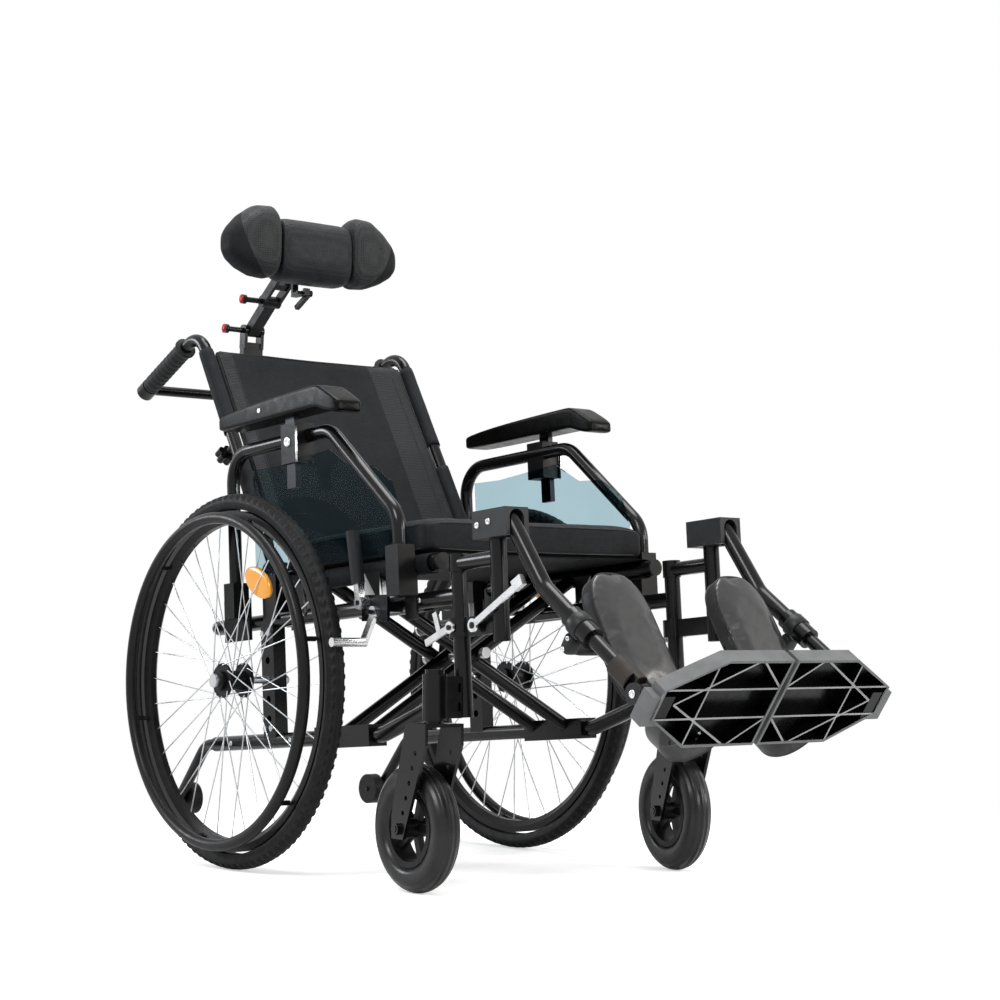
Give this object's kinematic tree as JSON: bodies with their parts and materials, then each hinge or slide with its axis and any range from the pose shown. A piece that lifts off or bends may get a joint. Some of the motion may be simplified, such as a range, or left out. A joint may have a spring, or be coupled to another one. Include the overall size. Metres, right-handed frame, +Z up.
{
  "type": "reclining wheelchair",
  "caption": "Folding-frame wheelchair with a reclining back, adjustable headrest, height-adjustable armrests, elevating legrests, spoked wheels with handrims, and swivel casters.",
  "frame": {"origin": "on the floor, under the middle of the chair's length and width, legrests included", "axes": "+X forward, the way the user faces, +Y to the user's left, +Z up"},
  "size_m": [1.4119, 0.69, 1.1516],
  "materials": {
    "black_tube": "satin black paint",
    "silver": "satin steel",
    "black_plastic": "moulded black plastic",
    "grey_plastic": "moulded grey plastic",
    "panel": "smoked translucent sheet",
    "fabric": "woven nylon, blue-grey",
    "padding": "soft leatherette over foam",
    "tyre": "grey-black rubber",
    "rubber": "soft black grip rubber",
    "webbing": "black webbing"
  },
  "bodies": {
    "frame": {"side_frames": "black_tube", "cross_brace_a": "black_tube", "cross_brace_b": "black_tube", "seat_sling": "fabric", "seat_cushion": "fabric", "frame_fittings": "silver", "armrest_sockets": "black_plastic", "caster_housings": "black_tube", "brake_brackets": "silver", "armrest_tubes": "black_tube", "side_panels": "panel", "antitip_tubes": "black_tube", "gas_spring_cylinders": "black_tube"},
    "gas_rods": {"gas_spring_rods": "silver"},
    "antitip_rollers": {"antitip_rollers": "rubber"},
    "backrest": {"back_canes": "black_tube", "push_grips": "rubber", "back_upholstery": "fabric", "handle_cross_bar": "black_tube"},
    "headrest_lower_arm": {"headrest_lower_arm": "black_tube"},
    "headrest_upper_arm": {"headrest_upper_arm": "black_tube"},
    "headrest": {"headrest_plate": "black_tube", "headrest_cushion": "padding"},
    "headrest_lever": {"headrest_lever": "black_plastic"},
    "right_wheel": {"right_tyre": "tyre", "right_rim": "black_tube", "right_hub_spokes": "silver", "right_handrim": "black_plastic"},
    "right_caster_fork": {"right_caster_fork": "black_tube"},
    "right_caster_wheel": {"right_caster_wheel": "tyre"},
    "right_armrest": {"right_arm_post": "silver", "right_arm_pad": "padding"},
    "right_hanger": {"right_hanger": "black_tube"},
    "right_leg": {"right_leg_tube": "black_tube"},
    "right_calf": {"right_calf_pad": "padding"},
    "right_foot": {"right_foot_tube": "black_tube"},
    "right_footplate": {"right_footplate": "grey_plastic", "right_heel_strap": "webbing"},
    "right_latch": {"right_latch_lever": "silver"},
    "right_release": {"right_release_lever": "silver"},
    "right_brake_lever": {"right_brake_lever": "rubber"},
    "right_brake_shoe": {"right_brake_shoe": "silver"},
    "left_wheel": {"left_tyre": "tyre", "left_rim": "black_tube", "left_hub_spokes": "silver", "left_handrim": "black_plastic"},
    "left_caster_fork": {"left_caster_fork": "black_tube"},
    "left_caster_wheel": {"left_caster_wheel": "tyre"},
    "left_armrest": {"left_arm_post": "silver", "left_arm_pad": "padding"},
    "left_hanger": {"left_hanger": "black_tube"},
    "left_leg": {"left_leg_tube": "black_tube"},
    "left_calf": {"left_calf_pad": "padding"},
    "left_foot": {"left_foot_tube": "black_tube"},
    "left_footplate": {"left_footplate": "grey_plastic", "left_heel_strap": "webbing"},
    "left_latch": {"left_latch_lever": "silver"},
    "left_release": {"left_release_lever": "silver"},
    "left_brake_lever": {"left_brake_lever": "rubber"},
    "left_brake_shoe": {"left_brake_shoe": "silver"}
  },
  "joints": [
    {"name": "backrest_recline", "type": "hinge", "parent": "frame", "child": "backrest", "pos_m": [-0.25718, 0, 0.47976], "axis": [0, -1, 0], "range_deg": [-20, 40]},
    {"name": "gas_rod_stroke", "type": "slide", "parent": "frame", "child": "gas_rods", "axis": [0.9976, 0, 0.0698], "range_m": [-0.03, 0.056]},
    {"name": "antitip_roll", "type": "hinge", "parent": "frame", "child": "antitip_rollers", "pos_m": [-0.56, 0, 0.093], "axis": [0, 1, 0], "continuous": true},
    {"name": "headrest_lower_tilt", "type": "hinge", "parent": "backrest", "child": "headrest_lower_arm", "pos_m": [-0.68, 0, 0.95], "axis": [0, -1, 0], "range_deg": [-15, 30]},
    {"name": "headrest_upper_tilt", "type": "hinge", "parent": "headrest_lower_arm", "child": "headrest_upper_arm", "pos_m": [-0.62, 0, 0.998], "axis": [0, -1, 0], "range_deg": [-20, 30]},
    {"name": "headrest_tilt", "type": "hinge", "parent": "headrest_upper_arm", "child": "headrest", "pos_m": [-0.554, 0, 1.048], "axis": [0, -1, 0], "range_deg": [-10, 25]},
    {"name": "headrest_lever_press", "type": "hinge", "parent": "headrest", "child": "headrest_lever", "pos_m": [-0.506, 0, 1.001], "axis": [0, 1, 0], "range_deg": [0, 20]},
    {"name": "right_wheel_spin", "type": "hinge", "parent": "frame", "child": "right_wheel", "pos_m": [-0.262, -0.2965, 0.305], "axis": [0, 1, 0], "continuous": true},
    {"name": "right_caster_swivel", "type": "hinge", "parent": "frame", "child": "right_caster_fork", "pos_m": [0.226, -0.257, 0.254], "axis": [0, 0, 1], "continuous": true},
    {"name": "right_caster_spin", "type": "hinge", "parent": "right_caster_fork", "child": "right_caster_wheel", "pos_m": [0.18106, -0.25465, 0.0955], "axis": [0.0523, 0.9986, 0], "continuous": true},
    {"name": "right_armrest_height", "type": "slide", "parent": "frame", "child": "right_armrest", "axis": [-0.0698, 0, 0.9976], "range_m": [0, 0.05]},
    {"name": "right_legrest_swing", "type": "hinge", "parent": "frame", "child": "right_hanger", "pos_m": [0.23206, -0.217, 0.47187], "axis": [0.0698, 0, -0.9976], "range_deg": [0, 90]},
    {"name": "right_legrest_elevate", "type": "hinge", "parent": "right_hanger", "child": "right_leg", "pos_m": [0.35066, -0.216, 0.54632], "axis": [0, -1, 0], "range_deg": [-20, 35]},
    {"name": "right_calf_pad_swing", "type": "hinge", "parent": "right_leg", "child": "right_calf", "pos_m": [0.50267, -0.216, 0.39235], "axis": [-0.8192, 0, 0.5736], "range_deg": [0, 60]},
    {"name": "right_foot_extend", "type": "slide", "parent": "right_leg", "child": "right_foot", "axis": [0.8192, 0, -0.5736], "range_m": [0, 0.06]},
    {"name": "right_footplate_angle", "type": "hinge", "parent": "right_foot", "child": "right_footplate", "pos_m": [0.62431, -0.216, 0.30107], "axis": [0, -1, 0], "range_deg": [-20, 20]},
    {"name": "right_latch_turn", "type": "hinge", "parent": "right_hanger", "child": "right_latch", "pos_m": [0.23778, -0.237, 0.39007], "axis": [0, 1, 0], "range_deg": [0, 20]},
    {"name": "right_release_squeeze", "type": "hinge", "parent": "right_hanger", "child": "right_release", "pos_m": [0.28517, -0.233, 0.39338], "axis": [0, -1, 0], "range_deg": [0, 12], "stiffness_Nm_per_rad": 3, "springref_deg": -8.59},
    {"name": "right_brake_pull", "type": "hinge", "parent": "frame", "child": "right_brake_lever", "pos_m": [0.058, -0.272, 0.428], "axis": [0, 1, 0], "range_deg": [0, 30]},
    {"name": "right_brake_shoe_turn", "type": "hinge", "parent": "frame", "child": "right_brake_shoe", "pos_m": [0.084, -0.272, 0.414], "axis": [0, 1, 0], "range_deg": [0, 18.5]},
    {"name": "left_wheel_spin", "type": "hinge", "parent": "frame", "child": "left_wheel", "pos_m": [-0.262, 0.2965, 0.305], "axis": [0, 1, 0], "continuous": true},
    {"name": "left_caster_swivel", "type": "hinge", "parent": "frame", "child": "left_caster_fork", "pos_m": [0.226, 0.257, 0.254], "axis": [0, 0, 1], "continuous": true},
    {"name": "left_caster_spin", "type": "hinge", "parent": "left_caster_fork", "child": "left_caster_wheel", "pos_m": [0.18226, 0.26758, 0.0955], "axis": [0.2351, 0.972, 0], "continuous": true},
    {"name": "left_armrest_height", "type": "slide", "parent": "frame", "child": "left_armrest", "axis": [-0.0698, 0, 0.9976], "range_m": [0, 0.05]},
    {"name": "left_legrest_swing", "type": "hinge", "parent": "frame", "child": "left_hanger", "pos_m": [0.23206, 0.217, 0.47187], "axis": [-0.0698, 0, 0.9976], "range_deg": [0, 90]},
    {"name": "left_legrest_elevate", "type": "hinge", "parent": "left_hanger", "child": "left_leg", "pos_m": [0.35066, 0.216, 0.54632], "axis": [0, -1, 0], "range_deg": [-20, 35]},
    {"name": "left_calf_pad_swing", "type": "hinge", "parent": "left_leg", "child": "left_calf", "pos_m": [0.50267, 0.216, 0.39235], "axis": [0.8192, 0, -0.5736], "range_deg": [0, 60]},
    {"name": "left_foot_extend", "type": "slide", "parent": "left_leg", "child": "left_foot", "axis": [0.8192, 0, -0.5736], "range_m": [0, 0.06]},
    {"name": "left_footplate_angle", "type": "hinge", "parent": "left_foot", "child": "left_footplate", "pos_m": [0.62431, 0.216, 0.30107], "axis": [0, -1, 0], "range_deg": [-20, 20]},
    {"name": "left_latch_turn", "type": "hinge", "parent": "left_hanger", "child": "left_latch", "pos_m": [0.23778, 0.237, 0.39007], "axis": [0, 1, 0], "range_deg": [0, 20]},
    {"name": "left_release_squeeze", "type": "hinge", "parent": "left_hanger", "child": "left_release", "pos_m": [0.28517, 0.233, 0.39338], "axis": [0, -1, 0], "range_deg": [0, 12], "stiffness_Nm_per_rad": 3, "springref_deg": -8.59},
    {"name": "left_brake_pull", "type": "hinge", "parent": "frame", "child": "left_brake_lever", "pos_m": [0.058, 0.272, 0.428], "axis": [0, 1, 0], "range_deg": [0, 30]},
    {"name": "left_brake_shoe_turn", "type": "hinge", "parent": "frame", "child": "left_brake_shoe", "pos_m": [0.084, 0.272, 0.414], "axis": [0, 1, 0], "range_deg": [0, 18.5]}
  ],
  "couplings": [
    {"joint": "gas_rod_stroke", "follows": "backrest_recline", "m_per_rad": 0.0745},
    {"joint": "right_brake_shoe_turn", "follows": "right_brake_pull", "ratio": 0.6},
    {"joint": "left_brake_shoe_turn", "follows": "left_brake_pull", "ratio": 0.6}
  ]
}
